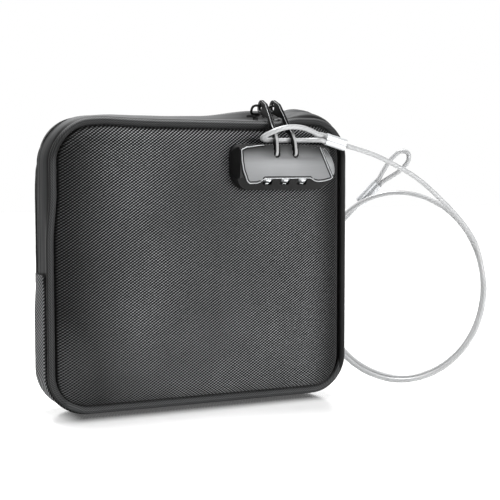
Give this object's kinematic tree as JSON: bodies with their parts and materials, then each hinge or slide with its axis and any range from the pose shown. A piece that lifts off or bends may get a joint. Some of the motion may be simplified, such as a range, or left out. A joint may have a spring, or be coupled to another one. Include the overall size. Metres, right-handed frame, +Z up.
{
  "type": "locking travel pouch",
  "caption": "Padded zip pouch with round piping, a combination lock that holds both zip pulls, and a coated steel tether cable standing in a coil.",
  "frame": {"origin": "middle of the flat underside of the gusset, on the surface that the pouch stands on", "axes": "+X to the right along the front, +Y from the front to the rear, +Z up"},
  "size_m": [0.2999, 0.0867, 0.194],
  "materials": {
    "woven_nylon": "matt ballistic weave",
    "piping_tape": "fine twill",
    "zip_tape": "smooth satin",
    "lining": "plain weave",
    "zip_coil": "satin",
    "black_metal": "glossy black",
    "lock_black": "semi-gloss black",
    "lock_face": "satin grey",
    "dial_silver": "satin silver",
    "inner_steel": "bare",
    "backing_metal": "bare",
    "cable_coat": "clear-coated grey",
    "ferrule_metal": "pressed, bright"
  },
  "bodies": {
    "pouch": {"front_panel": "woven_nylon", "front_lining": "lining", "front_piping": "piping_tape", "lower_gusset": "woven_nylon", "rear_panel_lower": "woven_nylon", "rear_lining_lower": "lining", "rear_piping_lower": "piping_tape", "front_zip_tape": "zip_tape", "front_zip_coil": "zip_coil", "lock_base": "lock_black", "lock_plate": "lock_face", "dial_shaft": "inner_steel", "detent_spring": "inner_steel", "backing_plate": "backing_metal", "lock_screws": "inner_steel", "near_eye": "cable_coat", "near_ferrule": "ferrule_metal", "tether_cable": "cable_coat", "far_ferrule": "ferrule_metal", "far_eye": "cable_coat"},
    "rear_flap": {"rear_panel_upper": "woven_nylon", "rear_lining_upper": "lining", "rear_piping_upper": "piping_tape", "rear_zip_tape": "zip_tape", "rear_zip_coil": "zip_coil"},
    "left_slider": {"slider_left": "black_metal"},
    "right_slider": {"slider_right": "black_metal"},
    "left_pull": {"pull_left": "black_metal"},
    "right_pull": {"pull_right": "black_metal"},
    "left_dial": {"dial_left": "dial_silver"},
    "middle_dial": {"dial_middle": "dial_silver"},
    "right_dial": {"dial_right": "dial_silver"},
    "latch": {"latch_bar": "inner_steel", "release_button": "lock_face"}
  },
  "joints": [
    {"name": "flap_fold", "type": "hinge", "parent": "pouch", "child": "rear_flap", "pos_m": [0, 0.0228, 0.08615], "axis": [-1, 0, 0], "range_deg": [0, 70]},
    {"name": "left_slider_play", "type": "slide", "parent": "pouch", "child": "left_slider", "axis": [1, 0, 0], "range_m": [-0.0006, 0.0006]},
    {"name": "right_slider_play", "type": "slide", "parent": "pouch", "child": "right_slider", "axis": [1, 0, 0], "range_m": [-0.0006, 0.0006]},
    {"name": "left_pull_swing", "type": "hinge", "parent": "left_slider", "child": "left_pull", "pos_m": [0.0446, -0.0045, 0.1904], "axis": [-1, 0, 0], "range_deg": [0, 10]},
    {"name": "right_pull_swing", "type": "hinge", "parent": "right_slider", "child": "right_pull", "pos_m": [0.0534, -0.0045, 0.1904], "axis": [-1, 0, 0], "range_deg": [0, 10]},
    {"name": "latch_slide", "type": "slide", "parent": "pouch", "child": "latch", "axis": [1, 0, 0], "range_m": [0, 0.0045]},
    {"name": "left_dial_turn", "type": "hinge", "parent": "pouch", "child": "left_dial", "pos_m": [0.03605, -0.0295, 0.1453], "axis": [1, 0, 0], "continuous": true},
    {"name": "middle_dial_turn", "type": "hinge", "parent": "pouch", "child": "middle_dial", "pos_m": [0.04825, -0.0295, 0.1453], "axis": [1, 0, 0], "continuous": true},
    {"name": "right_dial_turn", "type": "hinge", "parent": "pouch", "child": "right_dial", "pos_m": [0.06045, -0.0295, 0.1453], "axis": [1, 0, 0], "continuous": true}
  ]
}
